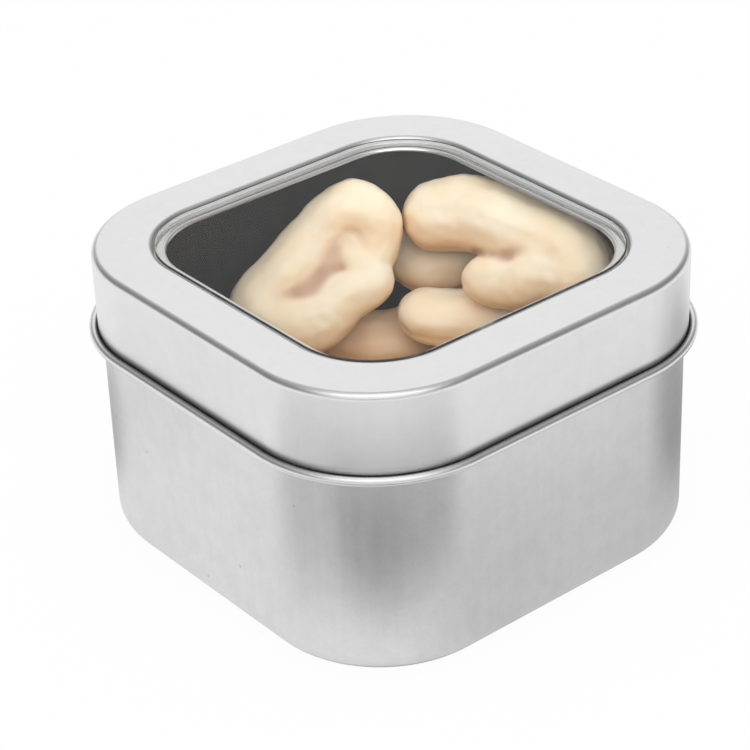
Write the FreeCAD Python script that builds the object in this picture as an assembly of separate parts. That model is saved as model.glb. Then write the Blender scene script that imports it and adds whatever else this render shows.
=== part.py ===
import FreeCAD, Part
import math
import os

from FreeCAD import Vector

# A square tinplate tin with round corners. Its slip-over lid frames a clear pane.
# Millimetres, +Z up. The origin is under the middle of the base, on the surface it stands on.

# Tinplate
sheet = 0.28                    # thickness of the body and of the lid alike
chord_sag = 0.05                # how far the chords of a bend may lie inside its round

# Tin body, outside sizes
body_side = 64.9                # across the flats
body_corner_radius = 17.5       # of the upright corners
body_height = 41.7              # from the standing face to the top of the rolled rim
base_edge_radius = 3.8          # between the walls and the base
standing_ring_width = 2.6       # flat ring that the tin stands on
base_panel_lift = 0.3           # the middle of the base is pressed up by this much
base_panel_bend = 0.8           # middle radius of the two bends of that step
rim_curl_radius = 0.5           # middle radius of the rim, which rolls inwards
rim_curl_turn = 225.0           # degrees

# Lid
lid_clearance = 0.27            # between the lid's skirt and the body's wall
lid_seat_clearance = 0.12       # between the lid's top and the body's rim
lid_depth = 12.3                # from the lid's top to the underside of its curl
shoulder_radius = 0.9           # outside, between the lid's top and its skirt
lid_curl_radius = 0.45          # middle radius of the skirt's edge, which rolls outwards
lid_curl_flare = 0.3            # short flat run at the bottom of that curl
lid_curl_turn = 185.0           # degrees, from the flare to the free edge

# Window opening in the lid
window_side = 52.4              # across the opening, where the lid's top starts to roll down
window_corner_radius = 12.5     # at the same place
lip_radius = 0.75               # outside radius of that roll
lip_foot_radius = 0.3           # inside radius where the lip meets the ledge
ledge_width = 1.8               # from the lip's wall to the clear opening
ledge_roll_radius = 0.45        # outside radius of the ledge's rolled-down inner edge

# Clear pane and the film of adhesive that holds it on the ledge
pane_thickness = 1.0
pane_gap = 0.2                  # all round, between the pane's edge and the lip
pane_set_down = 0.1             # top of the pane below the lid's top
pane_chamfer = 0.12             # on the pane's top edge
adhesive_thickness = 0.1
adhesive_margin = 0.05          # between the film and the bends on each side of the ledge

# Sizes that follow from these
half_sheet = sheet / 2
body_half = body_side / 2
corner_offset = body_half - body_corner_radius
lid_growth = lid_clearance + sheet
lid_corner_radius = body_corner_radius + lid_growth
lid_top = body_height + lid_seat_clearance + sheet
window_half = window_side / 2
window_offset = window_half - window_corner_radius
lip_wall_radius = window_corner_radius - lip_radius
ledge_inner_radius = lip_wall_radius - ledge_width
ledge_depth = pane_set_down + pane_thickness + adhesive_thickness
ledge_top = lid_top - ledge_depth

UP = Vector(0, 0, 1)
ORIGIN = Vector(0, 0, 0)
QUARTER_TURN = 90.0
SIDES = 4


def along(degrees):
    """The unit vector at an angle in the section's plane, from outwards towards up."""
    angle = math.radians(degrees)
    return Vector(math.cos(angle), 0, math.sin(angle))


class Strip:
    """A strip of sheet seen edge-on. It follows straight runs and bends at one thickness."""

    def __init__(self, outwards, height, heading):
        self.middle = Vector(outwards, 0, height)
        self.heading = heading
        self.left = []
        self.right = []
        self.mark()

    def mark(self):
        to_left = along(self.heading + QUARTER_TURN) * half_sheet
        self.left.append(self.middle + to_left)
        self.right.append(self.middle - to_left)

    def run(self, length):
        self.middle = self.middle + along(self.heading) * length
        self.mark()
        return self

    def bend(self, middle_radius, degrees):
        """Turn by an angle, positive to the left, in as few chords as follow the round."""
        side = math.copysign(QUARTER_TURN, degrees)
        centre = self.middle + along(self.heading + side) * middle_radius
        outer_radius = middle_radius + half_sheet
        chord_turn = 2 * math.degrees(math.acos(1 - chord_sag / outer_radius))
        chords = math.ceil(abs(degrees) / chord_turn)
        for _ in range(chords):
            self.heading += degrees / chords
            self.middle = centre - along(self.heading + side) * middle_radius
            self.mark()
        return self

    def face(self):
        outline = self.left + self.right[::-1]
        return Part.Face(Part.makePolygon(outline + outline[:1]))


def rounded_square(offset, radius, height):
    """A flat face at a height. Its corners are arcs about the points at the offset."""
    half = offset + radius
    edges = []
    for side in range(SIDES):
        turn = FreeCAD.Rotation(UP, side * QUARTER_TURN)
        flat_from = turn.multVec(Vector(half, -offset, height))
        flat_to = turn.multVec(Vector(half, offset, height))
        round_middle = turn.multVec(Vector(offset, offset, height) + Vector(1, 1, 0).normalize() * radius)
        round_to = turn.multVec(Vector(offset, half, height))
        edges.append(Part.LineSegment(flat_from, flat_to).toShape())
        edges.append(Part.Arc(flat_to, round_middle, round_to).toShape())
    return Part.Face(Part.Wire(edges))


def swept_round(section, offset):
    """Carry a section along four flat sides and round four corners, as one ring."""
    pieces = []
    for side in range(SIDES):
        straight = section.translated(Vector(offset, -offset, 0)).extrude(Vector(0, offset + offset, 0))
        at_corner = section.translated(Vector(offset, offset, 0))
        corner = at_corner.revolve(Vector(offset, offset, 0), UP, QUARTER_TURN)
        for piece in (straight, corner):
            piece.rotate(ORIGIN, UP, side * QUARTER_TURN)
            pieces.append(piece)
    return joined(pieces)


def joined(pieces):
    return pieces[0].multiFuse(pieces[1:]).removeSplitter().Solids[0]


def tin_body():
    """A drawn cup: pressed base, round base edge, straight walls and a rim rolled inwards."""
    step_angle = math.degrees(math.acos(1 - base_panel_lift / (base_panel_bend + base_panel_bend)))
    step_width = math.sin(math.radians(step_angle)) * (base_panel_bend + base_panel_bend)
    panel_radius = body_corner_radius - base_edge_radius - standing_ring_width - step_width
    wall_height = body_height - half_sheet - rim_curl_radius - base_edge_radius
    wall = Strip(panel_radius, base_panel_lift + half_sheet, 0)
    wall.bend(base_panel_bend, -step_angle).bend(base_panel_bend, step_angle)
    wall.run(standing_ring_width)
    wall.bend(base_edge_radius - half_sheet, QUARTER_TURN)
    wall.run(wall_height)
    wall.bend(rim_curl_radius, rim_curl_turn)
    panel = rounded_square(corner_offset, panel_radius, base_panel_lift).extrude(UP * sheet)
    return joined([swept_round(wall.face(), corner_offset), panel])


def lid_skirt():
    """The lid's shoulder, its skirt and the edge that rolls outwards at the bottom."""
    skirt_height = lid_depth - shoulder_radius - lid_curl_radius - half_sheet
    skirt = Strip(lid_corner_radius - shoulder_radius, lid_top - half_sheet, 0)
    skirt.bend(shoulder_radius - half_sheet, -QUARTER_TURN)
    skirt.run(skirt_height)
    skirt.bend(lid_curl_radius, QUARTER_TURN)
    skirt.run(lid_curl_flare)
    skirt.bend(lid_curl_radius, lid_curl_turn)
    return swept_round(skirt.face(), corner_offset)


def window_lip():
    """The edge of the opening: it rolls down, turns in as a ledge and rolls down again."""
    wall_drop = ledge_depth - lip_radius - lip_foot_radius
    ledge_run = ledge_width - lip_foot_radius - ledge_roll_radius
    lip = Strip(window_corner_radius, lid_top - half_sheet, QUARTER_TURN + QUARTER_TURN)
    lip.bend(lip_radius - half_sheet, QUARTER_TURN)
    lip.run(wall_drop)
    lip.bend(lip_foot_radius + half_sheet, -QUARTER_TURN)
    lip.run(ledge_run)
    lip.bend(ledge_roll_radius - half_sheet, QUARTER_TURN)
    return swept_round(lip.face(), window_offset)


def lid_shell():
    """One pressing: a flat frame between the skirt's shoulder and the lip of the window."""
    underside = lid_top - sheet
    plate = rounded_square(corner_offset, lid_corner_radius - shoulder_radius, underside)
    opening = rounded_square(window_offset, window_corner_radius, underside)
    frame = plate.cut(opening).extrude(UP * sheet)
    return joined([frame, lid_skirt(), window_lip()])


def window_pane():
    """A clear plate that drops into the lip. Its top edge is broken by a chamfer."""
    pane_radius = lip_wall_radius - pane_gap
    underside = ledge_top + adhesive_thickness
    plate = rounded_square(window_offset, pane_radius, underside).extrude(UP * pane_thickness)
    top_face = max(plate.Faces, key=lambda face: face.CenterOfMass.z)
    return plate.makeChamfer(pane_chamfer, top_face.Edges)


def window_adhesive():
    """A thin film on the flat of the ledge. It carries the pane."""
    outer_radius = lip_wall_radius - lip_foot_radius - adhesive_margin
    inner_radius = ledge_inner_radius + ledge_roll_radius + adhesive_margin
    outer = rounded_square(window_offset, outer_radius, ledge_top)
    inner = rounded_square(window_offset, inner_radius, ledge_top)
    return outer.cut(inner).extrude(UP * adhesive_thickness)


PIECES = {
    "tin_body": tin_body,
    "lid_shell": lid_shell,
    "window_pane": window_pane,
    "window_adhesive": window_adhesive,
}

os.makedirs("parts", exist_ok=True)
for name, make in PIECES.items():
    shape = make()
    solid = shape.Solids[0]
    print(name, "solids", len(shape.Solids), "valid", solid.isValid(), "volume", round(solid.Volume, 2))
    solid.exportStep("parts/" + name + ".step")
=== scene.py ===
# %% [markdown]
# # A window lid tin
# A small square tin of satin tinplate, with a slip-over lid and a clear window in it.
# The packed model gives every piece its size and place, so it is loaded first and stays as it is.

# %% Load the packed tin
import math

import bmesh
import bpy
import numpy
from mathutils import Matrix, Vector, geometry, noise


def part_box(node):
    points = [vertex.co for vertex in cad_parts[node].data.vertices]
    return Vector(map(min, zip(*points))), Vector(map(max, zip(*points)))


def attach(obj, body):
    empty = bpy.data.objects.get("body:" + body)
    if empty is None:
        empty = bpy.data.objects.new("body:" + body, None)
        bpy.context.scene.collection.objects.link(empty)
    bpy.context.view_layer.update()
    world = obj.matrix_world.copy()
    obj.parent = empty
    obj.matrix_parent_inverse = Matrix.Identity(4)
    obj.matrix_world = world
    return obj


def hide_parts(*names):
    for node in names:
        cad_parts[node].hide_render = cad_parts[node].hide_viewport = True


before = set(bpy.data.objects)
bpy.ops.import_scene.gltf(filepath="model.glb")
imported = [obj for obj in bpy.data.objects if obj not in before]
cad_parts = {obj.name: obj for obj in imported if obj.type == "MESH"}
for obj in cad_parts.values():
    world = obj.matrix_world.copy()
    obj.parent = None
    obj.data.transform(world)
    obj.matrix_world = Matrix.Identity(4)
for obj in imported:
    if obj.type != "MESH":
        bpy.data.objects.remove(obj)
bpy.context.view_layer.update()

# %% [markdown]
# ## The camera
# The tin is seen through a long lens, from above one of its corners.
# A constraint could aim the camera, but it would not take the small tilt of the picture.
# So the camera's three axes are worked out and written into its matrix.
# Its place is then moved aside until the tin's middle falls on its own pixel, with no lens shift.

# %% Work out where the camera stands
MM = 0.001
VIEW_AZIMUTH = math.radians(51.29)
VIEW_ELEVATION = math.radians(30.63)
VIEW_TILT = math.radians(-2.21)
VIEW_DISTANCE = 345.3 * MM
LENS_MM = 122.98
SENSOR_MM = 36.0
IMAGE_SIDE = 750
AIM_HEIGHT = 20 * MM
AIM_PIXEL = (393.8, 385.4)


def way_to(azimuth, elevation):
    """The way from the tin to an eye or a lamp. Azimuth 0 is in front, on the side of -Y."""
    flat = math.cos(elevation)
    return Vector((math.sin(azimuth) * flat, -math.cos(azimuth) * flat, math.sin(elevation)))


tin_middle = Vector((0, 0, AIM_HEIGHT))
to_right = Vector((math.cos(VIEW_AZIMUTH), math.sin(VIEW_AZIMUTH), 0))
to_rear = Vector((-math.sin(VIEW_AZIMUTH), math.cos(VIEW_AZIMUTH), 0))
backward = way_to(VIEW_AZIMUTH, VIEW_ELEVATION)
rightward = Matrix.Rotation(VIEW_TILT, 3, backward) @ to_right
upward = backward.cross(rightward)
metres_per_pixel = VIEW_DISTANCE * SENSOR_MM / LENS_MM / IMAGE_SIDE
aside, below = [(pixel - IMAGE_SIDE / 2) * metres_per_pixel for pixel in AIM_PIXEL]
eye = tin_middle + backward * VIEW_DISTANCE - rightward * aside + upward * below
print("camera at", [round(value, 4) for value in eye])

# %% Place the camera
camera_data = bpy.data.cameras.new("photo_camera")
camera_data.lens = LENS_MM
camera_data.sensor_width = SENSOR_MM
camera_data.clip_start = MM
camera = bpy.data.objects.new("photo_camera", camera_data)
bpy.context.collection.objects.link(camera)
axes = Matrix((rightward, upward, backward)).transposed()
camera.matrix_world = Matrix.Translation(eye) @ axes.to_4x4()
bpy.context.scene.camera = camera
print("lens", round(camera_data.lens, 2), "mm")

# %% [markdown]
# ## Shader maths as plain sums
# A material is a tree of nodes, and wiring each one by hand hides what the finish is.
# This class holds one socket of a tree, so that a finish can be read as the sum that it is.
# Sums of sockets add Math nodes, and add() puts in a node of any other kind.

# %% A socket that can be used in sums
class Signal:
    """One output socket of a node tree."""

    def __init__(self, tree, socket=None):
        self.tree = tree
        self.socket = socket

    def add(self, kind, settings=None, sockets=None, output=0):
        """A new node: its settings come first, then the values or links of its sockets."""
        node = self.tree.nodes.new("ShaderNode" + kind)
        for name, value in (settings or {}).items():
            setattr(node, name, value)
        for name, value in (sockets or {}).items():
            if isinstance(value, Signal):
                self.tree.links.new(value.socket, node.inputs[name])
            else:
                node.inputs[name].default_value = value
        return Signal(self.tree, node.outputs[output] if node.outputs else None)

    def beside(self, output):
        """Another output of the same node."""
        return Signal(self.tree, self.socket.node.outputs[output])

    def maths(self, operation, first, second=0.0):
        return self.add("Math", {"operation": operation}, {0: first, 1: second})

    def __add__(self, other):
        return self.maths("ADD", self, other)

    __radd__ = __add__

    def __sub__(self, other):
        return self.maths("SUBTRACT", self, other)

    def __rsub__(self, other):
        return self.maths("SUBTRACT", other, self)

    def __mul__(self, other):
        return self.maths("MULTIPLY", self, other)

    __rmul__ = __mul__

    def rise(self, low, high):
        """0 below low, 1 above high, and a smooth step between them."""
        settings = {"interpolation_type": "SMOOTHSTEP"}
        return self.add("MapRange", settings, {"Value": self, "From Min": low, "From Max": high})

    def mixed(self, first, second):
        """The first colour where this is 0, and the second where it is 1."""
        return self.add("Mix", {"data_type": "RGBA"}, {0: self, 6: first, 7: second}, output=2)


print("a signal can", [name for name in vars(Signal) if not name.startswith("_")])

# %% Start a tree and show what it makes
def empty_tree(owner):
    """Clear the tree of a material or a world. Returns a signal to add nodes with."""
    owner.use_nodes = True
    owner.node_tree.nodes.clear()
    return Signal(owner.node_tree)


def new_material(name):
    material = bpy.data.materials.new(name)
    return material, empty_tree(material)


def show(signal, owner):
    """Link a shader to the output of its tree."""
    kind = "World" if isinstance(owner, bpy.types.World) else "Material"
    signal.add("Output" + kind, {}, {"Surface": signal})
    return owner


def ray_kinds(signal, *names):
    """1 for rays of the kinds that are named, else 0."""
    path = signal.add("LightPath")
    kinds = [path.beside(name) for name in names]
    return sum(kinds[1:], kinds[0]).rise(0.0, 1.0)


print(len(bpy.data.materials), "materials came with the packed tin")

# %% [markdown]
# ## The floor
# The tin stands on a white sweep, which fades into a white room.
# A lamp strong enough to bleach the sweep would bleach the metal too.
# So the floor is pale and matt, and a share of plain white is mixed in for the camera and for reflections.
# The matt share that is left keeps the tin's soft shadow.

# %% Lay the floor
FLOOR_SIDE = 4.0
FLOOR_DROP = 0.02 * MM
FLOOR_WHITE = (0.77, 0.77, 0.77, 1)
PURE_WHITE = (1, 1, 1, 1)
CAMERA_SHARE = 0.95
MIRROR_SHARE = 0.6


def floor_finish():
    material, nodes = new_material("floor_white")
    matt = nodes.add("BsdfDiffuse", {}, {"Color": FLOOR_WHITE})
    white = nodes.add("Emission", {}, {"Color": PURE_WHITE, "Strength": 1.0})
    seen = ray_kinds(nodes, "Is Camera Ray") * CAMERA_SHARE
    mirrored = ray_kinds(nodes, "Is Glossy Ray", "Is Transmission Ray") * MIRROR_SHARE
    share = nodes.maths("MAXIMUM", seen, mirrored)
    return show(nodes.add("MixShader", {}, {0: share, 1: matt, 2: white}), material)


bpy.ops.mesh.primitive_plane_add(size=FLOOR_SIDE, location=(0, 0, -FLOOR_DROP))
floor = bpy.context.object
floor.name = "floor"
floor.data.materials.append(floor_finish())
print("floor", FLOOR_SIDE, "m square")

# %% [markdown]
# ## The sky
# Satin metal shows a blurred picture of its room. In a room that is white all round it looks like paper.
# A real studio has soft boxes with darker gaps between them. These could be built as panels,
# but a world that reads the direction of each ray has soft edges at no cost.
# Reflections see a grey ceiling that opens to white over the tin, grey flanks and rear corners,
# and a grey strip low in front. The camera and all other light see plain white.
# The limits of a field come in pairs, as shares of the way up, back or aside: where it starts and is full.

# %% Name the fields of the sky
CEILING_EDGE = (math.sin(math.radians(46)), math.sin(math.radians(64)))
OPENING_REAR = (0.1, 0.4)
OPENING_SIDES = (0.2, 0.45)
FLOOR_LINE = (0.05, 0.22)
REAR_EDGE = (0.0, 0.2)
REAR_CORNERS = (0.15, 0.42)
FLANK_EDGE = (0.52, 0.66)
FRONT_EDGE = (-0.9, -0.7)
FRONT_TOP = (0.14, 0.28)
CEILING_GREY = (0.35, 0.35, 0.355, 1)
REAR_GREY = (0.43, 0.43, 0.434, 1)
SIDE_GREY = (0.22, 0.22, 0.222, 1)
FRONT_GREY = (0.3, 0.3, 0.302, 1)
print("ceiling from", round(CEILING_EDGE[0], 3), "to", round(CEILING_EDGE[1], 3), "of the way up")

# %% Hang the sky
def share_along(way, direction):
    """How much of a way lies along a direction, from -1 to 1."""
    return way.add("VectorMath", {"operation": "DOT_PRODUCT"}, {0: way, 1: direction}, output="Value")


def build_sky():
    world = bpy.data.worlds.new("studio_sky")
    nodes = empty_tree(world)
    way = nodes.add("TexCoord", output="Generated")
    height = nodes.add("SeparateXYZ", {}, {0: way}, output="Z")
    behind = share_along(way, to_rear)
    sideways = nodes.maths("ABSOLUTE", share_along(way, to_right))
    mirrored = ray_kinds(nodes, "Is Glossy Ray")

    opening = (1 - behind.rise(*OPENING_REAR)) * (1 - sideways.rise(*OPENING_SIDES))
    ceiling = height.rise(*CEILING_EDGE) * (1 - opening) * mirrored
    above_floor = height.rise(*FLOOR_LINE) * mirrored
    rear = behind.rise(*REAR_EDGE) * sideways.rise(*REAR_CORNERS) * above_floor
    flanks = sideways.rise(*FLANK_EDGE) * above_floor
    front = (1 - behind.rise(*FRONT_EDGE)) * (1 - height.rise(*FRONT_TOP)) * mirrored

    room = ceiling.mixed(PURE_WHITE, CEILING_GREY)
    for field, grey in ((rear, REAR_GREY), (flanks, SIDE_GREY), (front, FRONT_GREY)):
        room = field.mixed(room, grey)
    colour = ray_kinds(nodes, "Is Camera Ray").mixed(room, PURE_WHITE)
    return show(nodes.add("Background", {}, {"Color": colour, "Strength": 1.0}), world)


bpy.context.scene.world = build_sky()
bpy.context.scene.view_settings.view_transform = "Standard"
print("sky", bpy.context.scene.world.name)

# %% [markdown]
# ## The lamps
# Two long soft boxes hang in front of the tin, one above the other. A sun lamp would draw hard shadows,
# so these are area lamps, which shade as softly as they are large.
# The key lamp lights what lies behind the window. It is hidden from the metal, because its mirror image
# would burn out the lid as seen from the back. The edge lamp draws the bright line on the lid's shoulder.

# %% Hang the lamps
LAMP_AZIMUTH = math.radians(51)
LAMP_DISTANCE = 0.7
LAMP_WIDTH = 0.8
LAMPS = {
    "key_lamp": dict(elevation=38, height=0.25, power=1.7),
    "edge_lamp": dict(elevation=62, height=0.14, power=0.5),
}


def soft_lamp(name, elevation, height, power):
    data = bpy.data.lights.new(name, "AREA")
    data.shape = "RECTANGLE"
    data.size = LAMP_WIDTH
    data.size_y = height
    data.energy = power
    lamp = bpy.data.objects.new(name, data)
    bpy.context.collection.objects.link(lamp)
    lamp.location = tin_middle + way_to(LAMP_AZIMUTH, math.radians(elevation)) * LAMP_DISTANCE
    lamp.rotation_euler = (tin_middle - lamp.location).to_track_quat("-Z", "Y").to_euler()
    return lamp


lamps = {name: soft_lamp(name, **shape) for name, shape in LAMPS.items()}
lamps["key_lamp"].visible_glossy = False
print("lamps", list(lamps))

# %% [markdown]
# ## The cards
# Grey cards laid beside a shiny thing put soft dark shapes into its bright metal.
# Here they lie on the floor, where the upright walls mirror them. Painting the same shapes onto the metal
# would be simpler, but they would stay put when the tin is seen from elsewhere.
# Each card is a plane that fades from grey to clear. Only reflections see it.

# %% Make a card
CARD_LIFT = 0.05 * MM
CARD_CORE = 0.35
SOFT_CORE = 0.1
CARD_PLANE = 2


def grey_card(name, lift, aside, away, length, width, grey, core=CARD_CORE):
    """A card that is full inside its core. Its sizes and its place from the tin are in millimetres."""
    material, nodes = new_material(name)
    spot = nodes.add("TexCoord", output="Object")
    far = nodes.add("VectorMath", {"operation": "LENGTH"}, {0: spot}, output="Value")
    clear = nodes.add("BsdfTransparent")
    shade = nodes.add("Emission", {}, {"Color": (grey, grey, grey, 1), "Strength": 1.0})
    show(nodes.add("MixShader", {}, {0: far.rise(core, 1.0), 1: shade, 2: clear}), material)
    place = (to_right * aside + to_rear * away) * MM
    place.z = lift
    bpy.ops.mesh.primitive_plane_add(size=CARD_PLANE, location=place, rotation=(0, 0, VIEW_AZIMUTH))
    card = bpy.context.object
    card.name = name
    card.scale = (length * MM / CARD_PLANE, width * MM / CARD_PLANE, 1)
    card.data.materials.append(material)
    for kind in ("camera", "diffuse", "shadow", "transmission"):
        setattr(card, "visible_" + kind, False)
    return card


print("cards lie", round(CARD_LIFT / MM, 3), "mm above each other")

# %% Lay the cards
CARDS = {
    "far_left_card": dict(aside=-92, away=-6, length=80, width=64, grey=0.88),
    "far_right_card": dict(aside=84, away=-38, length=70, width=56, grey=0.88),
    "front_card": dict(aside=-4, away=-73, length=172, width=57, grey=0.13, core=SOFT_CORE),
    "front_side_card": dict(aside=36, away=-62, length=64, width=44, grey=0.27, core=SOFT_CORE),
    "corner_card": dict(aside=-52, away=-52, length=76, width=60, grey=0.58),
    "right_card": dict(aside=31, away=-25, length=90, width=72, grey=0.68),
    "rear_card": dict(aside=70, away=14, length=90, width=84, grey=0.36),
    "left_card": dict(aside=-52, away=26, length=60, width=50, grey=0.5),
}
for number, (name, card) in enumerate(CARDS.items(), 1):
    grey_card(name, CARD_LIFT * number, **card)
print(len(CARDS), "cards on the floor")

# %% [markdown]
# ## Sheet metal
# The body and the lid are pressed from thin sheet, so each is a section that is carried round.
# A Solidify modifier could thicken a surface, but the bends would not keep their true radii.
# Here the section follows runs and bends at one thickness, and each of its points brings its exact normal,
# so that reflections run smoothly from the flats into the bends.

# %% Follow a strip of sheet
SHEET = 0.28 * MM
HALF_SHEET = SHEET / 2
QUARTER = math.pi / 2
BEND_STEP = math.radians(7.5)
EDGE_STEPS = 4


def heading(angle):
    return Vector((math.cos(angle), math.sin(angle)))


def bend_steps(turn):
    return math.ceil(abs(turn) / BEND_STEP)


def strip(start, angle, *moves):
    """The left face, the free edge and the right face of a strip, as (point, normal) pairs.

    A move is a run, (length,), or a bend, (middle radius, turn), with a turn to the left above zero.
    """
    middle = Vector(start)
    left, right = [], []

    def mark():
        normal = heading(angle + QUARTER)
        left.append((middle + normal * HALF_SHEET, normal))
        right.append((middle - normal * HALF_SHEET, -normal))

    mark()
    for size, *bend in moves:
        if not bend:
            middle = middle + heading(angle) * size
            mark()
            continue
        turn = bend[0]
        side = math.copysign(QUARTER, turn)
        centre = middle + heading(angle + side) * size
        steps = bend_steps(turn)
        for _ in range(steps):
            angle += turn / steps
            middle = centre - heading(angle + side) * size
            mark()
    normals = [heading(angle + QUARTER - step * math.pi / EDGE_STEPS) for step in range(1, EDGE_STEPS)]
    edge = [(middle + normal * HALF_SHEET, normal) for normal in normals]
    return left, edge, right


print("sheet", SHEET / MM, "mm thick,", bend_steps(QUARTER), "steps in a square bend")

# %% [markdown]
# ## Round the square
# The tin is square with round corners, so each point of a section becomes a ring of four arcs,
# which straight runs join. Blender can carry a profile along a curve, but it would guess the normals.
# Here a ring is worked out point by point with its normals, and neighbouring rings are bridged by
# four-sided faces. A number on each face says which of the piece's finishes it takes.

# %% Carry a point round the square
CORNERS = 4
CORNER_STEPS = 40


def ring_of(point, normal, offset):
    """One point of a section, carried round. The corners are arcs about the points at the offset."""
    places, normals = [], []
    for corner in range(CORNERS):
        centre = Matrix.Rotation(corner * QUARTER, 2) @ Vector((offset, offset))
        for step in range(CORNER_STEPS + 1):
            outward = heading((corner + step / CORNER_STEPS) * QUARTER)
            places.append((centre + outward * point.x).to_3d() + Vector((0, 0, point.y)))
            normals.append((outward * normal.x).to_3d() + Vector((0, 0, normal.y)))
    return places, normals


print(CORNERS * (CORNER_STEPS + 1), "points in a ring")

# %% Bridge rings into a piece
class Pressing:
    """A closed mesh made of rings."""

    def __init__(self):
        self.places, self.normals, self.faces, self.finishes = [], [], [], []
        self.finish = 0

    def rings(self, section, offset):
        """Add a ring for each point of the section, each joined to the next."""
        made = []
        for point, normal in section:
            places, normals = ring_of(point, normal, offset)
            made.append(range(len(self.places), len(self.places) + len(places)))
            self.places += places
            self.normals += normals
        for first, second in zip(made, made[1:]):
            self.bridge(first, second)
        return made

    def bridge(self, first, second):
        for here in range(len(first)):
            after = (here + 1) % len(first)
            self.face((first[here], first[after], second[after], second[here]))

    def fill(self, ring):
        self.face(tuple(ring))

    def face(self, corners):
        self.faces.append(corners)
        self.finishes.append(self.finish)

    def piece(self, name, body, node, slot):
        """The finished piece. It rides on a body and stands for a node."""
        mesh = bpy.data.meshes.new(name)
        mesh.from_pydata(self.places, [], self.faces)
        mesh.polygons.foreach_set("material_index", self.finishes)
        face_outwards(mesh)
        mesh.shade_smooth()
        mesh.normals_split_custom_set_from_vertices(self.normals)
        piece = bpy.data.objects.new(name, mesh)
        bpy.context.collection.objects.link(piece)
        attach(piece, body)
        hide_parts(node)
        print(name, len(mesh.vertices), "points")
        return piece


def face_outwards(mesh):
    shell = bmesh.new()
    shell.from_mesh(mesh)
    bmesh.ops.recalc_face_normals(shell, faces=shell.faces)
    shell.to_mesh(mesh)
    shell.free()


def store(mesh, name, values):
    """Keep a number on each point of a mesh, for its finish to read."""
    mesh.attributes.new(name, "FLOAT", "POINT").data.foreach_set("value", values)


print(CORNERS * (CORNER_STEPS + 1), "faces between two rings")

# %% [markdown]
# ## The tin's body
# The body is a cup drawn from one blank: a base pressed up a little inside a standing ring,
# a round base edge, straight walls and a rim rolled inwards so that no cut edge is left to touch.
# The packed node gives the outside size, and the bends are what such a cup has.
# Where its base edge turns under towards the floor, a number for painted contact shade is stored, fading
# to both sides.

# %% Press the body
BODY_CORNER = 17.5 * MM
BASE_EDGE = 3.8 * MM
STANDING_RING = 2.6 * MM
PANEL_LIFT = 0.3 * MM
PANEL_BEND = 0.8 * MM
RIM_CURL = 0.5 * MM
RIM_TURN = math.radians(225)
SHADE_LEAN = math.radians(46)
SHADE_SPREAD = math.radians(14)
BRIGHT_TIN, LACQUER_AND_SHADE = 0, 1
body_low, body_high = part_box("tin_body")
corner_offset = body_high.x - BODY_CORNER


def body_section():
    step_turn = math.acos(1 - PANEL_LIFT / (2 * PANEL_BEND))
    step_width = 2 * PANEL_BEND * math.sin(step_turn)
    panel_radius = BODY_CORNER - BASE_EDGE - STANDING_RING - step_width
    wall = body_high.z - HALF_SHEET - RIM_CURL - BASE_EDGE
    return strip(
        (panel_radius, PANEL_LIFT + HALF_SHEET),
        0,
        (PANEL_BEND, -step_turn),
        (PANEL_BEND, step_turn),
        (STANDING_RING,),
        (BASE_EDGE - HALF_SHEET, QUARTER),
        (wall,),
        (RIM_CURL, RIM_TURN),
    )


def press_body():
    inside, edge, outside = body_section()
    section = edge + outside[::-1]
    pressing = Pressing()
    pressing.finish = BRIGHT_TIN
    outer = pressing.rings(section, corner_offset)
    pressing.fill(outer[-1])
    # The inner faces take the lacquer, which also carries painted shade.
    pressing.finish = LACQUER_AND_SHADE
    inner = pressing.rings(inside, corner_offset)
    pressing.fill(inner[0])
    pressing.bridge(inner[-1], outer[0])
    piece = pressing.piece("body_pressing", "tin", "tin_body", "tinplate")
    # Painted contact shade: a soft dark band round the base edge, where it turns under towards the floor.
    soil = numpy.zeros(len(piece.data.vertices))
    for ring, (point, normal) in zip(outer, section):
        if point.x > BODY_CORNER - BASE_EDGE and point.y < BASE_EDGE:
            soil[list(ring)] = max(0, 1 - abs(math.asin(normal.y) + SHADE_LEAN) / SHADE_SPREAD)
    store(piece.data, "soil", soil)
    return piece


body = press_body()

# %% [markdown]
# ## The lid
# The lid is one pressing too. From the flat frame on top, the sheet turns down over a shoulder into
# the skirt, and its edge rolls outwards in a bead that a thumb can push against.
# Inwards, it rolls down to a narrow ledge that carries the window. Cutting the window out of a plain lid
# would leave a raw edge, so the lip is part of the section.
# The tight crease above the bead takes painted shade of its own, and painted shade fades in on the skirt
# just above it.

# %% Measure the lid
LID_CLEARANCE = 0.27 * MM
SHOULDER = 0.9 * MM
LID_CURL = 0.45 * MM
CURL_TURN = math.radians(258)
CREASE = 0.55 * MM
SHADE_ABOVE_CREASE = 1.2 * MM
WINDOW_HALF = 26.2 * MM
WINDOW_CORNER = 12.5 * MM
LIP_ROLL = 0.75 * MM
LIP_FOOT = 0.3 * MM
LEDGE_WIDTH = 1.8 * MM
LEDGE_ROLL = 0.45 * MM
LEDGE_DEPTH = 1.2 * MM
lid_low, lid_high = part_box("lid_shell")
lid_middle = lid_high.z - HALF_SHEET
lid_corner = BODY_CORNER + LID_CLEARANCE + SHEET
curl_flare = lid_high.x - corner_offset - lid_corner - 2 * LID_CURL
skirt = lid_high.z - lid_low.z - SHOULDER - LID_CURL - HALF_SHEET
ledge_flat = LEDGE_WIDTH - LIP_FOOT - LEDGE_ROLL
window_offset = WINDOW_HALF - WINDOW_CORNER
print("skirt", round(skirt / MM, 2), "mm, flare of the bead", round(curl_flare / MM, 2), "mm")

# %% Press the lid
SHADED_CREASE = 1
RUNS_ABOVE_CREASE = 2


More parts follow.
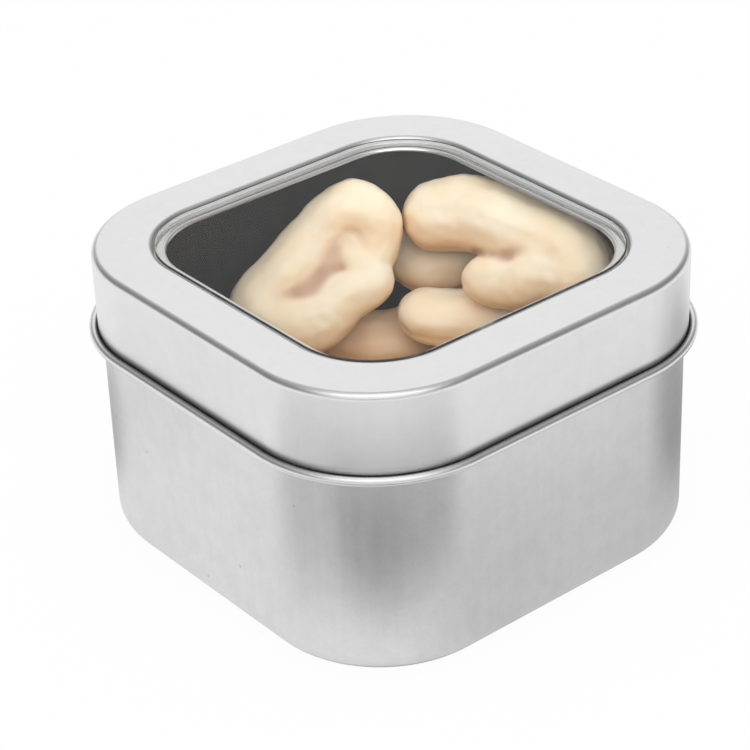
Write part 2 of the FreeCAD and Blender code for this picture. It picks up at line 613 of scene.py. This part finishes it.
def skirt_section():
    return strip(
        (lid_corner - SHOULDER, lid_middle),
        0,
        (SHOULDER - HALF_SHEET, -QUARTER),
        (skirt - CREASE - SHADE_ABOVE_CREASE,),
        (SHADE_ABOVE_CREASE,),
        (CREASE,),
        (LID_CURL, QUARTER),
        (curl_flare,),
        (LID_CURL, CURL_TURN),
    )


def lip_section():
    return strip(
        (WINDOW_CORNER, lid_middle),
        math.pi,
        (LIP_ROLL - HALF_SHEET, QUARTER),
        (LEDGE_DEPTH - LIP_ROLL - LIP_FOOT,),
        (LIP_FOOT + HALF_SHEET, -QUARTER),
        (ledge_flat,),
        (LEDGE_ROLL - HALF_SHEET, QUARTER),
    )


def press_lid():
    above, bead, below = skirt_section()
    under, edge, over = lip_section()
    crease_top = 1 + bend_steps(QUARTER) + RUNS_ABOVE_CREASE
    pressing = Pressing()
    pressing.finish = BRIGHT_TIN
    outer = pressing.rings(above[:crease_top], corner_offset)
    # The crease takes painted shade.
    pressing.finish = SHADED_CREASE
    crease = pressing.rings(above[crease_top:], corner_offset)
    pressing.bridge(outer[-1], crease[0])
    pressing.finish = BRIGHT_TIN
    roll = pressing.rings(bead + below[::-1], corner_offset)
    pressing.bridge(crease[-1], roll[0])
    inner = pressing.rings(over + edge + under[::-1], window_offset)
    pressing.bridge(outer[0], inner[0])
    pressing.bridge(roll[-1], inner[-1])
    piece = pressing.piece("lid_pressing", "lid", "lid_shell", "lid_tinplate")
    # Painted shade: it fades in on the skirt just above the crease.
    soil = numpy.zeros(len(piece.data.vertices))
    soil[list(outer[-1])] = 1
    store(piece.data, "soil", soil)
    return piece


lid = press_lid()

# %% [markdown]
# ## The window
# The window is a flat plate of clear plastic that drops into the lip and is glued to the ledge.
# A plain box would do for the plate, but its edge is what shows: it is eased at the top and cut below,
# and that draws the fine bright and dark lines round the window.
# So the edge is a section too. Its upper part carries painted shade, nearly black, and its lower part is
# frosted.

# %% Cut the pane
PANE_TOP_EASE = 0.14 * MM
PANE_FOOT_EASE = 0.05 * MM
EASE_STEPS = 5
FILM_CLEAR = 0.01 * MM
CUT_SHADE = 0.28 * MM
CLEAR_FACE, SHADED_EDGE, CUT_EDGE = 0, 1, 2
pane_low, pane_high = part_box("window_pane")


def eased_edge(radius, low, high, low_ease, high_ease):
    """The rounded edge of a plate, from its underside to its top."""
    section = []
    for height, ease, first in ((low + low_ease, low_ease, -QUARTER), (high - high_ease, high_ease, 0)):
        for step in range(EASE_STEPS + 1):
            normal = heading(first + step / EASE_STEPS * QUARTER)
            section.append((Vector((radius - ease, height)) + normal * ease, normal))
    return section


def cut_pane():
    radius = pane_high.x - window_offset
    section = eased_edge(radius, pane_low.z + FILM_CLEAR, pane_high.z, PANE_FOOT_EASE, PANE_TOP_EASE)
    split = (Vector((radius, pane_high.z - CUT_SHADE)), heading(0))
    pressing = Pressing()
    pressing.finish = CUT_EDGE
    foot = pressing.rings(section[:EASE_STEPS + 1] + [split], window_offset)
    # The upper part of the edge carries painted shade, for the dark gap beside the lip.
    pressing.finish = SHADED_EDGE
    head = pressing.rings(section[EASE_STEPS + 1:], window_offset)
    pressing.bridge(foot[-1], head[0])
    pressing.finish = CLEAR_FACE
    pressing.fill(foot[0])
    pressing.fill(head[-1])
    return pressing.piece("clear_window", "lid", "window_pane", "clear_pane")


pane = cut_pane()

# %% [markdown]
# ## The film of adhesive
# A thin clear film on the ledge holds the pane. It is hardly seen, but without it the pane would hang
# in the air. A flat ring would do, but glue sets with round edges, so it has the pane's kind of edge
# on both sides. It ends a hair short of the pane and of the ledge, because two faces in one place
# flicker in a render.

# %% Lay the film
film_low, film_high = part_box("window_adhesive")


def facing_in(section):
    """The same section, turned to face the middle of the tin."""
    return [(Vector((-point.x, point.y)), Vector((-normal.x, normal.y))) for point, normal in section]


def lay_film():
    outer = film_high.x - window_offset
    inner = outer - ledge_flat + FILM_CLEAR
    low, high = film_low.z + FILM_CLEAR, film_high.z - FILM_CLEAR
    half = (high - low) / 2
    pressing = Pressing()
    outside = pressing.rings(eased_edge(outer, low, high, half, half), window_offset)
    inside = pressing.rings(facing_in(eased_edge(-inner, low, high, half, half)), window_offset)
    pressing.bridge(outside[0], inside[0])
    pressing.bridge(outside[-1], inside[-1])
    return pressing.piece("adhesive_film", "lid", "window_adhesive", "clear_adhesive")


film = lay_film()

# %% [markdown]
# ## What the tin holds
# Cashew kernels lie behind the window. They are goods and not a part of the tin, so they ride on its body.
# A kernel is a fat bent drop with a notch inside its bend.
# Metaballs make such lumps, but their blending shifts the size.
# So a chain of flat beads is laid along the bend, and a remesh melts the beads into one closed skin.

# %% Thread the beads
BEADS_PER_GAP = 7
HANDLE_DIVISOR = 6


def bead_chain(beads):
    """More beads on a smooth curve through those that are given as (right, up, radius)."""
    knots = [Vector(bead) * MM for bead in beads]
    chain = []
    for number in range(len(knots) - 1):
        here, there = knots[number], knots[number + 1]
        before = knots[max(number - 1, 0)]
        beyond = knots[min(number + 2, len(knots) - 1)]
        leaving = here + (there - before) / HANDLE_DIVISOR
        arriving = there - (beyond - here) / HANDLE_DIVISOR
        chain += geometry.interpolate_bezier(here, leaving, arriving, there, BEADS_PER_GAP + 1)[:-1]
    return chain + [knots[-1]]


print(BEADS_PER_GAP, "beads from one knot to the next")

# %% Melt the beads into one skin
BEAD_DETAIL = 2
BEAD_FLATNESS = 0.8
SKIN_CELL = 0.4 * MM
SKIN_SMOOTHING = 12


def loose_beads(beads):
    lumps = bmesh.new()
    for right, up, radius in bead_chain(beads):
        size = Matrix.Diagonal((radius, radius, radius * BEAD_FLATNESS, 1))
        place = Matrix.Translation((right, up, 0)) @ size
        bmesh.ops.create_icosphere(lumps, subdivisions=BEAD_DETAIL, radius=1, matrix=place)
    mesh = bpy.data.meshes.new("beads")
    lumps.to_mesh(mesh)
    lumps.free()
    return mesh


def melted(beads):
    """One closed mesh round all the beads, with its joints smoothed away."""
    mesh = loose_beads(beads)
    lump = bpy.data.objects.new("beads", mesh)
    bpy.context.collection.objects.link(lump)
    skin = lump.modifiers.new("skin", "REMESH")
    skin.mode = "VOXEL"
    skin.voxel_size = SKIN_CELL
    smooth = lump.modifiers.new("smooth", "SMOOTH")
    smooth.iterations = SKIN_SMOOTHING
    shaped = lump.evaluated_get(bpy.context.evaluated_depsgraph_get())
    made = bpy.data.meshes.new_from_object(shaped)
    bpy.data.objects.remove(lump)
    bpy.data.meshes.remove(mesh)
    return made


print("skin cell", SKIN_CELL / MM, "mm")

# %% [markdown]
# ## Lumps and a seam
# A real kernel is never quite smooth: it has low lumps, fine ripples and the seam where its halves meet.
# A bump in the finish would vanish at the outline, so these are moved into the mesh itself.
# Blender's own noise gives the lumps, and a seed shifts it so that no two kernels are alike.

# %% Roughen a kernel
LUMP_HEIGHT = 0.5 * MM
LUMP_SCALE = 170
RIPPLE_HEIGHT = 0.10 * MM
RIPPLE_SCALE = 700
SEAM_DEPTH = 0.22 * MM
SEAM_HALF_WIDTH = 0.45 * MM
SEED_STEP = Vector((7.3, 3.1, 5.7))


def roughen(mesh, seed):
    drift = SEED_STEP * seed
    skin = [(point.co.copy(), point.normal.copy()) for point in mesh.vertices]
    moved = []
    for place, normal in skin:
        lump = noise.noise(place * LUMP_SCALE + drift) * LUMP_HEIGHT
        ripple = noise.noise(place * RIPPLE_SCALE + drift) * RIPPLE_HEIGHT
        seam = SEAM_DEPTH * math.exp(-(place.z / SEAM_HALF_WIDTH) ** 2)
        moved.extend(place + normal * (lump + ripple - seam))
    mesh.vertices.foreach_set("co", moved)
    mesh.update()


print("lumps up to", LUMP_HEIGHT / MM, "mm, seam", SEAM_DEPTH / MM, "mm deep")

# %% [markdown]
# ## Painted shade in hollows and underneath
# The notch of a kernel gets painted shade in brown, and its underside painted shade in gold.
# Both could be painted by hand, but the mesh already knows them: in a hollow, a point lies below the mean
# of its neighbours, and an underside faces down. Each is stored on the points, for the finish to read.

# %% Measure hollows and undersides
HOLLOW_PASSES = 16
HOLLOW_FULL = 0.015 * MM
UNDERSIDE_LEVEL = 0.6


def measure_hollows(mesh):
    """Store 0 on bulges and up to 1 in hollows."""
    count = len(mesh.vertices)
    ends = numpy.empty(2 * len(mesh.edges), int)
    places, normals = numpy.empty(3 * count), numpy.empty(3 * count)
    mesh.edges.foreach_get("vertices", ends)
    mesh.vertices.foreach_get("co", places)
    mesh.vertex_normals.foreach_get("vector", normals)
    first, second = ends[::2], ends[1::2]
    places, normals = places.reshape(-1, 3), normals.reshape(-1, 3)
    near = numpy.bincount(ends, minlength=count)

    def neighbour_mean(values):
        ahead = numpy.bincount(first, values[second], count)
        behind = numpy.bincount(second, values[first], count)
        return (ahead + behind) / near

    middles = numpy.stack([neighbour_mean(axis) for axis in places.T], axis=1)
    depth = ((middles - places) * normals).sum(axis=1)
    for _ in range(HOLLOW_PASSES):
        depth = neighbour_mean(depth)
    store(mesh, "hollow", numpy.clip(depth / HOLLOW_FULL, 0, 1))


def measure_toast(mesh):
    """Store up to 1 on the underside and 0 on the upper side."""
    # Painted shade: the more a point faces down, the more of it it gets.
    toast = [UNDERSIDE_LEVEL - normal.vector.z for normal in mesh.vertex_normals]
    store(mesh, "toast", numpy.clip(toast, 0, 1))


print("a hollow is full at", HOLLOW_FULL / MM, "mm below its neighbours")

# %% [markdown]
# ## The kernels behind the window
# Each kernel is a chain of beads, given as right, up and radius in millimetres, as seen on its flat side.
# Then it gets a place in the tin and two angles: the way that it faces and how far it leans back.
# Rigid body physics could drop a heap of them, but these five have to lie where the window shows them,
# so each is given its place one by one. The move is made in the mesh, and the object itself stays at the
# origin.

# %% Lay one kernel
def lay_kernel(name, place, facing, lean, beads, seed):
    """Put a kernel down at a place in millimetres, at its facing and lean angles in degrees."""
    mesh = melted(beads)
    mesh.name = name
    roughen(mesh, seed)
    measure_hollows(mesh)
    mesh.shade_smooth()
    tip = Matrix.Rotation(QUARTER - math.radians(lean), 4, "X")
    stand = Matrix.Rotation(math.radians(facing), 4, "Z") @ tip
    mesh.transform(Matrix.Translation(Vector(place) * MM) @ stand)
    measure_toast(mesh)
    kernel = bpy.data.objects.new(name, mesh)
    bpy.context.collection.objects.link(kernel)
    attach(kernel, "tin")
    return kernel


room = [round((high - low - 2 * SHEET) / MM, 1) for low, high in zip(body_low, body_high)]
print("room in the tin", room, "mm")

# %% Lay the kernels that show
TOP_KERNELS = {
    "kernel_left": dict(
        place=(-20.5, 6, 28.2), facing=51, lean=38,
        beads=((6.4, 1.8, 3.6), (6.2, 5.2, 4.3), (3.0, 7.3, 4.7), (-2.0, 3.6, 4.0), (-6.4, -1.6, 4.6),
               (-10.0, -6.2, 4.8), (-3.8, -8.2, 5.0), (2.0, -5.2, 4.0), (5.6, -2.7, 3.4), (4.2, 1.2, 3.5),
               (2.6, 3.2, 3.4), (0.8, 0.6, 2.0), (-1.2, -1.6, 2.0), (-4.4, -4.2, 3.5))),
    "kernel_right": dict(
        place=(-2.8, 22.6, 32.0), facing=8, lean=45,
        beads=((-12.4, 0.5, 5.6), (-6.0, 2.6, 5.7), (2.0, 2.4, 5.7), (10.0, 2.0, 5.6), (13.2, 0.0, 5.0),
               (8.4, -1.2, 5.0), (6.0, -3.6, 4.6), (2.6, -4.8, 4.2), (-0.2, -5.6, 3.6))),
    "kernel_front": dict(
        place=(-5.8, 17.2, 20.8), facing=51, lean=75,
        beads=((-4.6, 0.9, 4.6), (0, 0.4, 5.0), (5.8, 0.9, 5.0), (10.2, 2.8, 4.2))),
    "kernel_deep": dict(
        place=(-18.5, 11, 15.2), facing=51, lean=70,
        beads=((-7, 3, 4.2), (-2, -0.5, 4.8), (4, -0.5, 4.9), (9, 3, 4.4))),
    "kernel_middle": dict(
        place=(-18.2, 22.6, 23.4), facing=51, lean=55,
        beads=((-3.5, 1.0, 4.2), (-1.0, -0.3, 4.6), (3.2, -0.6, 4.5), (6.2, 0.4, 3.8))),
}
kernels = []
for name, shape in TOP_KERNELS.items():
    kernels.append(lay_kernel(name, seed=len(kernels) + 1, **shape))
print(len(kernels), "kernels behind the window")

# %% [markdown]
# ## The kernels below
# Under these the tin is full. The lower kernels hardly show, so one chain of beads serves for all of
# them, and their seeds make them differ. They lie flat in two layers of rows, the upper layer turned
# by a quarter, with three more on top. A spot too close to the deep kernel stays free.

# %% Fill the tin below them
LOWER_BEADS = ((7.5, -3.0, 4.5), (3.5, 1.2, 5.2), (-3.5, 1.2, 5.2), (-7.5, -3.0, 4.4))
LAYERS = (5.1, 13.6)
ROWS = (-1, 0, 1)
ROW_GAP = 17.5
COLUMN_GAP = 26.0
TOP_LAYER = ((14, -12, 21.8), (-8, -17, 21.8), (19, 6, 21.8))
TOP_TURN = 40
SIDE_TURN = 90
SLANT = 4
SLANT_CYCLE = 4
LYING_FLAT = 90
DEEP_ROOM = 12

deep_spot = Vector(TOP_KERNELS["kernel_deep"]["place"])
spots = []
for layer, height in enumerate(LAYERS):
    for row in ROWS:
        for side in (-1, 1):
            spot = Vector((side * COLUMN_GAP / 2, row * ROW_GAP, height))
            turned = Matrix.Rotation(layer * QUARTER, 3, "Z") @ spot
            spots.append((turned, SIDE_TURN * (layer + 1 - side)))
spots += [(Vector(spot), TOP_TURN * number) for number, spot in enumerate(TOP_LAYER)]
for spot, facing in spots:
    if (spot - deep_spot).length < DEEP_ROOM:
        continue
    number = len(kernels) + 1
    facing += number % SLANT_CYCLE * SLANT
    name = "kernel_low_%02d" % number
    kernels.append(lay_kernel(name, spot, facing, LYING_FLAT, LOWER_BEADS, number))
print(len(kernels), "kernels in all")

# %% [markdown]
# ## Satin tinplate
# Tinplate is thin steel under a matt coat of tin. It is never one even grey: it has soft clouds, a mottle,
# a fine grain, faint upright streaks from drawing and a few small pits.
# A picture could be wrapped round the tin, but that needs a flat layout of every bend.
# Noise that reads the place on the piece, in metres, needs none and keeps one scale all over.
# Noises of four scales set the tone, the roughness and a very low relief. A Voronoi texture gives
# the pits: it splits the sheet into cells, and only a few of them get one.
# Where the stored painted shade is high, the metal is darkened: painted shade on the base edge and above
# the lid's crease.

# %% Choose the layers of the tin
NOISE_MEAN = 0.5
CLOUDS = dict(scale=110, detail=3)
STREAKS = dict(scale=900, detail=3)
MOTTLE = dict(scale=420, detail=5, roughness=0.65)
GRAIN = dict(scale=2400, detail=2)
DRAWN_OUT = (1.0, 1.0, 0.06)
BROAD_STEP = (0.25, 0.75)
CLOSE_STEP = (0.3, 0.7)
CLOUD_TONE, STREAK_TONE, MOTTLE_TONE, GRAIN_TONE = 0.25, 0.2, 0.35, 0.2
CLOUD_DULLS, STREAK_DULLS, GRAIN_DULLS = 0.08, 0.05, 0.03
CLOUD_RELIEF, STREAK_RELIEF = 2.0, 0.15
RELIEF_STRENGTH = 0.3
RELIEF_DEPTH = 0.012 * MM
PIT_CELLS = 260
PIT_EDGE = (0.03, 0.09)
PIT_CHANCE = (0.80, 0.82)
PIT_GREY = (0.45, 0.45, 0.45, 1)
PAINTED_SHADE_STEP = (0.0, 1.1)
PAINTED_SHADE_SHARE = 0.75
PAINTED_SHADE_GREY = (0.10, 0.10, 0.10, 1)
print("relief of the tin", round(RELIEF_DEPTH / MM, 4), "mm")

# %% Mix the tinplate
def speckle(place, scale, detail, roughness=0.5):
    """Soft noise that swings round its mean."""
    sockets = {"Vector": place, "Scale": scale, "Detail": detail, "Roughness": roughness}
    return place.add("TexNoise", {}, sockets)


def pits_at(place):
    """1 in the pits that a few cells of the sheet have."""
    cells = place.add("TexVoronoi", {}, {"Vector": place, "Scale": PIT_CELLS, "Randomness": 1.0})
    chance = place.add("SeparateColor", {}, {0: cells.beside("Color")}, output="Red")
    return (1 - cells.beside("Distance").rise(*PIT_EDGE)) * chance.rise(*PIT_CHANCE)


def tinplate(name, dark, light, roughness, pit_share):
    material, nodes = new_material(name)
    place = nodes.add("TexCoord", output="Object")
    drawn = nodes.add("Mapping", {}, {"Vector": place, "Scale": DRAWN_OUT})
    clouds, streaks = speckle(place, **CLOUDS), speckle(drawn, **STREAKS)
    mottle, grain = speckle(place, **MOTTLE), speckle(place, **GRAIN)
    tone = (
        clouds.rise(*BROAD_STEP) * CLOUD_TONE
        + streaks.rise(*BROAD_STEP) * STREAK_TONE
        + mottle.rise(*CLOSE_STEP) * MOTTLE_TONE
        + grain.rise(*CLOSE_STEP) * GRAIN_TONE
    )
    dulling = (
        (clouds - NOISE_MEAN) * CLOUD_DULLS
        + (streaks - NOISE_MEAN) * STREAK_DULLS
        + (grain - NOISE_MEAN) * GRAIN_DULLS
    )
    # Painted shade darkens the metal where the stored number is high.
    soil = nodes.add("Attribute", {"attribute_name": "soil"}, output="Fac")
    unshaded = (pits_at(place) * pit_share).mixed(tone.mixed(dark, light), PIT_GREY)
    relief = nodes.add("Bump", {}, {
        "Strength": RELIEF_STRENGTH,
        "Distance": RELIEF_DEPTH,
        "Height": streaks * STREAK_RELIEF + clouds * CLOUD_RELIEF,
    })
    shader = nodes.add("BsdfPrincipled", {}, {
        "Base Color": (soil.rise(*PAINTED_SHADE_STEP) * PAINTED_SHADE_SHARE).mixed(unshaded, PAINTED_SHADE_GREY),
        "Metallic": 1.0,
        "Roughness": dulling + roughness,
        "Normal": relief,
    })
    return show(shader, material)


# The body and the lid are one tinplate. The body's copy is set darker than the lid's, which is painted
# shade.
body_tin = tinplate(
    "body_tinplate",
    dark=(0.68, 0.68, 0.682, 1),
    light=(0.785, 0.785, 0.787, 1),
    roughness=0.34,
    pit_share=0.7,
)
lid_tin = tinplate(
    "lid_tinplate",
    dark=(0.78, 0.78, 0.782, 1),
    light=(0.845, 0.845, 0.847, 1),
    roughness=0.325,
    pit_share=0.2,
)
print("mixed", body_tin.name, "and", lid_tin.name)

# %% [markdown]
# ## Dark lacquer and painted shade
# Food tins are lacquered inside, so that what they hold doesn't touch bare metal.
# A second shell inside the body could carry the lacquer, but a coat this thin needs only a finish
# of its own on the inner faces. It is half matt, with faint clouds where it ran, and nearly black: partly
# the lacquer's own colour, partly painted shade for the inside of the tin.

# %% Lacquer the inside
LACQUER_CLOUDS = dict(scale=90, detail=3)
# Nearly black: partly the lacquer's own colour, partly painted shade inside the tin.
LACQUER_SHADE_DARK = (0.028, 0.028, 0.0285, 1)
LACQUER_SHADE_LIGHT = (0.040, 0.040, 0.0405, 1)
LACQUER_ROUGHNESS = 0.5
LACQUER_DULLS = 0.1
LACQUER_GLOSS = 0.15


def lacquer():
    material, nodes = new_material("inner_lacquer_and_shade")
    clouds = speckle(nodes.add("TexCoord", output="Object"), **LACQUER_CLOUDS)
    shader = nodes.add("BsdfPrincipled", {}, {
        "Base Color": clouds.rise(*CLOSE_STEP).mixed(LACQUER_SHADE_DARK, LACQUER_SHADE_LIGHT),
        "Roughness": (clouds - NOISE_MEAN) * LACQUER_DULLS + LACQUER_ROUGHNESS,
        "Specular IOR Level": LACQUER_GLOSS,
    })
    return show(shader, material)


def paint(piece, *materials):
    """Give a piece its finishes, in the order of the numbers on its faces."""
    for material in materials:
        piece.data.materials.append(material)
    print(piece.name, "has", [material.name for material in piece.data.materials])


paint(body, body_tin, lacquer())

# %% [markdown]
# ## The crease
# The lid's bead is rolled so close to the skirt that no light and no cloth gets in between.
# Bare metal would still mirror the white floor there, and the crease would not show.
# So its faces get painted shade, nearly black with fine specks.

# %% Paint shade into the crease
CREASE_SPECKS = dict(scale=1500, detail=3)
CREASE_DARK = (0.012, 0.012, 0.012, 1)
CREASE_LIGHT = (0.035, 0.034, 0.033, 1)
CREASE_ROUGHNESS = 0.5
CREASE_DULLS = 0.2


def crease_shade():
    material, nodes = new_material("crease_shade")
    specks = speckle(nodes.add("TexCoord", output="Object"), **CREASE_SPECKS)
    shader = nodes.add("BsdfPrincipled", {}, {
        "Base Color": specks.rise(*CLOSE_STEP).mixed(CREASE_DARK, CREASE_LIGHT),
        "Roughness": specks * CREASE_DULLS + CREASE_ROUGHNESS,
    })
    return show(shader, material)


paint(lid, lid_tin, crease_shade())

# %% [markdown]
# ## Clear plastic
# The pane is clear plastic with a few faint smudges. Its cut edge is frosted below and carries painted
# shade above.
# A shader that transmits light is right for what is seen through it, but lamp light would stop at it
# and leave the tin dark inside. So a transparent shader takes over for the rays that carry lamp light.
# The refraction is lower than that of real plastic, which keeps the mirror image in the pane faint.

# %% Clear the window and the film
PANE_REFRACTION = 1.13
FILM_REFRACTION = 1.3
SMUDGES = dict(scale=130, detail=5)
SMUDGE_STEP = (0.5, 0.75)
SMUDGE_SHARE = 0.3
SMUDGE_TINT = (0.96, 0.955, 0.94, 1)
SMUDGE_ROUGHNESS = 0.03


def clear_plastic(name, tint, roughness, clearness, refraction=PANE_REFRACTION):
    material, nodes = new_material(name)
    smudges = speckle(nodes.add("TexCoord", output="Object"), **SMUDGES).rise(*SMUDGE_STEP)
    plastic = nodes.add("BsdfPrincipled", {}, {
        "Base Color": (smudges * SMUDGE_SHARE).mixed(tint, SMUDGE_TINT),
        "Roughness": smudges * SMUDGE_ROUGHNESS + roughness,
        "IOR": refraction,
        "Transmission Weight": clearness,
    })
    gap = nodes.add("BsdfTransparent", {}, {"Color": tint})
    lamp_light = ray_kinds(nodes, "Is Shadow Ray", "Is Diffuse Ray")
    return show(nodes.add("MixShader", {}, {0: lamp_light, 1: plastic, 2: gap}), material)


paint(
    pane,
    clear_plastic("clear_pane", (0.99, 0.99, 0.99, 1), roughness=0.0, clearness=1.0),
    # Painted shade on the upper part of the cut edge, nearly black.
    clear_plastic("pane_edge_painted_shade", (0.06, 0.06, 0.058, 1), roughness=0.45, clearness=0.15),
    clear_plastic("pane_cut_edge", (0.90, 0.90, 0.88, 1), roughness=0.45, clearness=0.4),
)
adhesive = clear_plastic(
    "clear_adhesive", (0.95, 0.95, 0.93, 1), roughness=0.15, clearness=1.0, refraction=FILM_REFRACTION)
paint(film, adhesive)

# %% [markdown]
# ## The kernels' flesh
# The flesh of a nut is waxy: light sinks in a little way and comes out warmer. Plain paint would look like
# plaster, so a little light is let under the surface.
# Pale clouds run through the cream, and painted shade turns it golden on the stored undersides and brown
# in the stored hollows.
# Three skins from pale cream to deep brown keep the heap from looking like copies. The darkest goes on the
# kernel that lies deep in shade, so it is partly its own darker tone and partly painted shade.

# %% Mix the kernels' skins
KERNEL_CLOUDS = dict(scale=160, detail=4)
KERNEL_GRAIN = dict(scale=2600, detail=3)
CREAM_STEP = (0.3, 0.75)
KERNEL_UNDERSIDE_SHADE = (0.90, 0.55, 0.24, 1)
UNDERSIDE_SHADE_SHARE = 0.8
KERNEL_HOLLOW_SHADE = (0.42, 0.20, 0.10, 1)
HOLLOW_STEP = (0.0, 0.9)
HOLLOW_SHARE = 0.9
GRAIN_STRENGTH = 0.4
GRAIN_DEPTH = 0.05 * MM
KERNEL_ROUGHNESS = 0.45
FLESH_SHARE = 0.6
FLESH_REACH = (1.0, 0.8, 0.65)
FLESH_DEPTH = 0.7 * MM


def kernel_skin(name, pale, deep):
    material, nodes = new_material(name)
    place = nodes.add("TexCoord", output="Object")
    hollow = nodes.add("Attribute", {"attribute_name": "hollow"}, output="Fac")
    toast = nodes.add("Attribute", {"attribute_name": "toast"}, output="Fac")
    cream = speckle(place, **KERNEL_CLOUDS).rise(*CREAM_STEP).mixed(deep, pale)
    # Painted shade: golden on the undersides here, and brown in the hollows below.
    cream_and_underside_shade = (toast * UNDERSIDE_SHADE_SHARE).mixed(cream, KERNEL_UNDERSIDE_SHADE)
    grain = nodes.add("Bump", {}, {
        "Strength": GRAIN_STRENGTH,
        "Distance": GRAIN_DEPTH,
        "Height": speckle(place, **KERNEL_GRAIN),
    })
    shader = nodes.add("BsdfPrincipled", {}, {
        "Base Color": (hollow.rise(*HOLLOW_STEP) * HOLLOW_SHARE).mixed(cream_and_underside_shade, KERNEL_HOLLOW_SHADE),
        "Roughness": KERNEL_ROUGHNESS,
        "Subsurface Weight": FLESH_SHARE,
        "Subsurface Radius": FLESH_REACH,
        "Subsurface Scale": FLESH_DEPTH,
        "Normal": grain,
    })
    return show(shader, material)


fresh = kernel_skin("fresh_kernel", pale=(0.97, 0.84, 0.66, 1), deep=(0.95, 0.77, 0.55, 1))
toasted = kernel_skin("toasted_kernel", pale=(0.86, 0.66, 0.44, 1), deep=(0.78, 0.54, 0.34, 1))
golden = kernel_skin("golden_kernel", pale=(0.94, 0.77, 0.56, 1), deep=(0.90, 0.69, 0.46, 1))
print("mixed", fresh.name, toasted.name, golden.name)

# %% Give each kernel its skin
for number, kernel in enumerate(kernels):
    # The deep kernel lies in shade: its darker skin is partly painted shade.
    if kernel.name == "kernel_deep":
        paint(kernel, toasted)
    elif kernel.name.startswith("kernel_low") and number % 2:
        paint(kernel, golden)
    else:
        paint(kernel, fresh)

# %% [markdown]
# ## The tin is dressed
